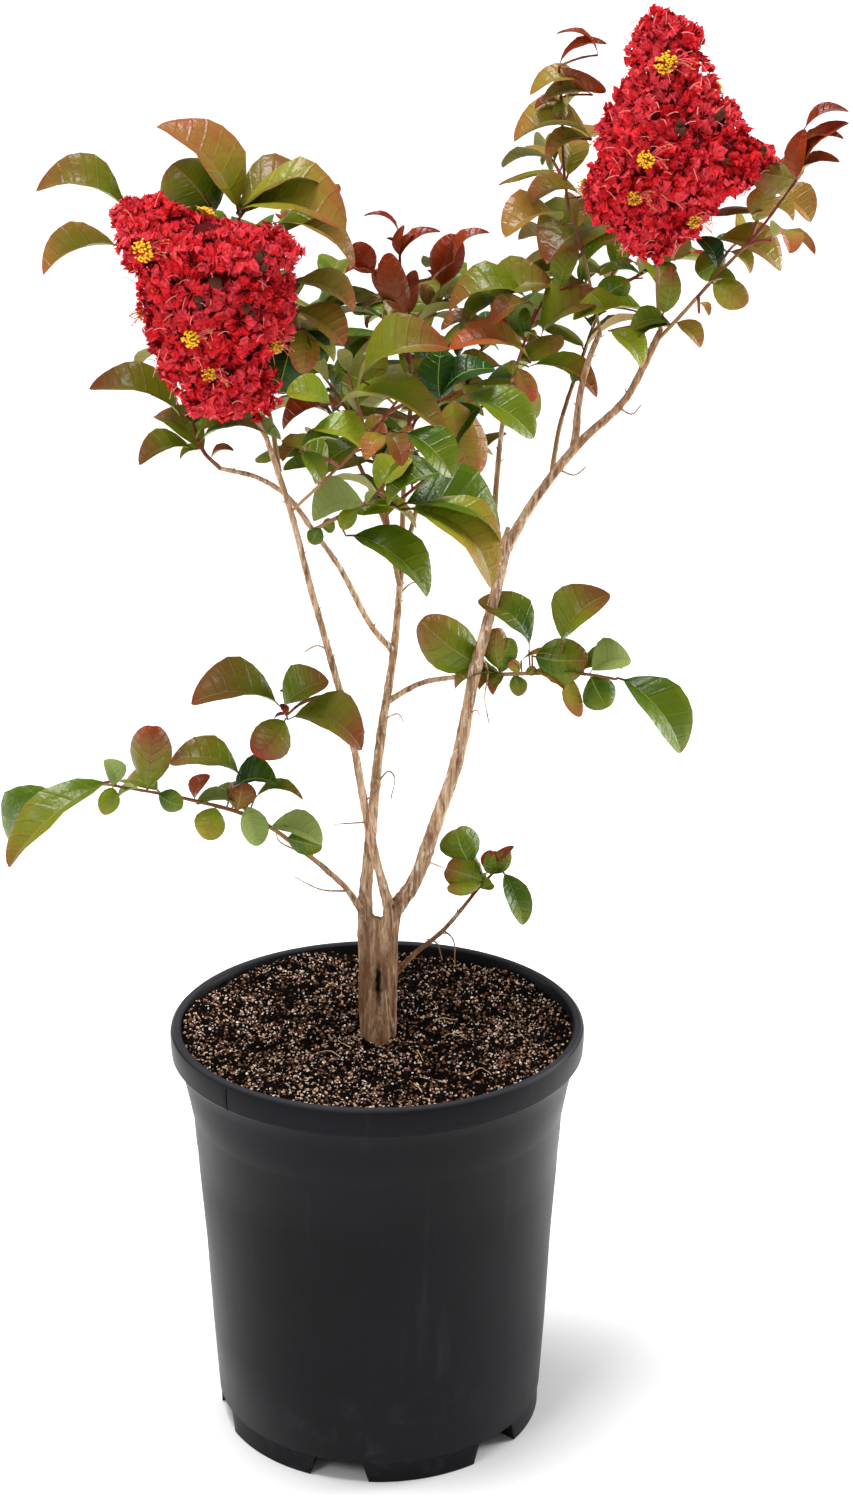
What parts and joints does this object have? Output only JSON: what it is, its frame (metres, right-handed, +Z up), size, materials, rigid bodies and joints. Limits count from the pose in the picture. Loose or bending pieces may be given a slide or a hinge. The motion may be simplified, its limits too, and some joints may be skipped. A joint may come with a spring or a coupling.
{
  "type": "potted crape myrtle tree",
  "caption": "Young crape myrtle in a round black nursery pot: slim forked stems, arching green and bronze leaves and two ruffled red flower heads at the top.",
  "frame": {"origin": "centre of the pot's flat underside, on the surface that it stands on", "axes": "+Z up through the pot and trunk; +X to the right of the plant's best side, the side of the higher flower head; +Y away from a viewer of that side"},
  "size_m": [0.418, 0.3098, 0.7831],
  "materials": {
    "pot_plastic": "satin moulded black plastic, slightly scuffed near the foot",
    "soil": "damp dark bark and peat mix with tan grains",
    "bark": "dry tan bark with fine cracks and peeling flecks",
    "leaves": "satin green leaves that turn bronze and copper at their edges",
    "blossom": "crinkled scarlet petals with small yellow anther clusters"
  },
  "bodies": {
    "root": {"pot": "pot_plastic", "soil": "soil", "trunk": "bark", "left_stem": "bark", "middle_stem": "bark", "right_stem": "bark", "right_upper_stem": "bark", "dead_stub": "bark", "low_left_branch": "bark", "right_low_branch": "bark", "mid_left_branch": "bark", "right_mid_branch": "bark", "right_side_stem": "bark", "thin_back_stem": "bark", "low_left_leaves": "leaves", "mid_left_leaves": "leaves", "right_mid_leaves": "leaves", "right_low_leaves": "leaves", "far_left_leaves": "leaves", "left_top_leaves": "leaves", "mid_centre_leaves": "leaves", "left_centre_leaves": "leaves", "centre_top_leaves": "leaves", "back_stem_leaves": "leaves", "right_left_leaves": "leaves", "right_end_leaves": "leaves", "back_left_leaves": "leaves", "back_centre_leaves": "leaves", "back_right_leaves": "leaves", "front_centre_leaves": "leaves", "left_blossom": "blossom", "right_blossom": "blossom"}
  },
  "joints": []
}
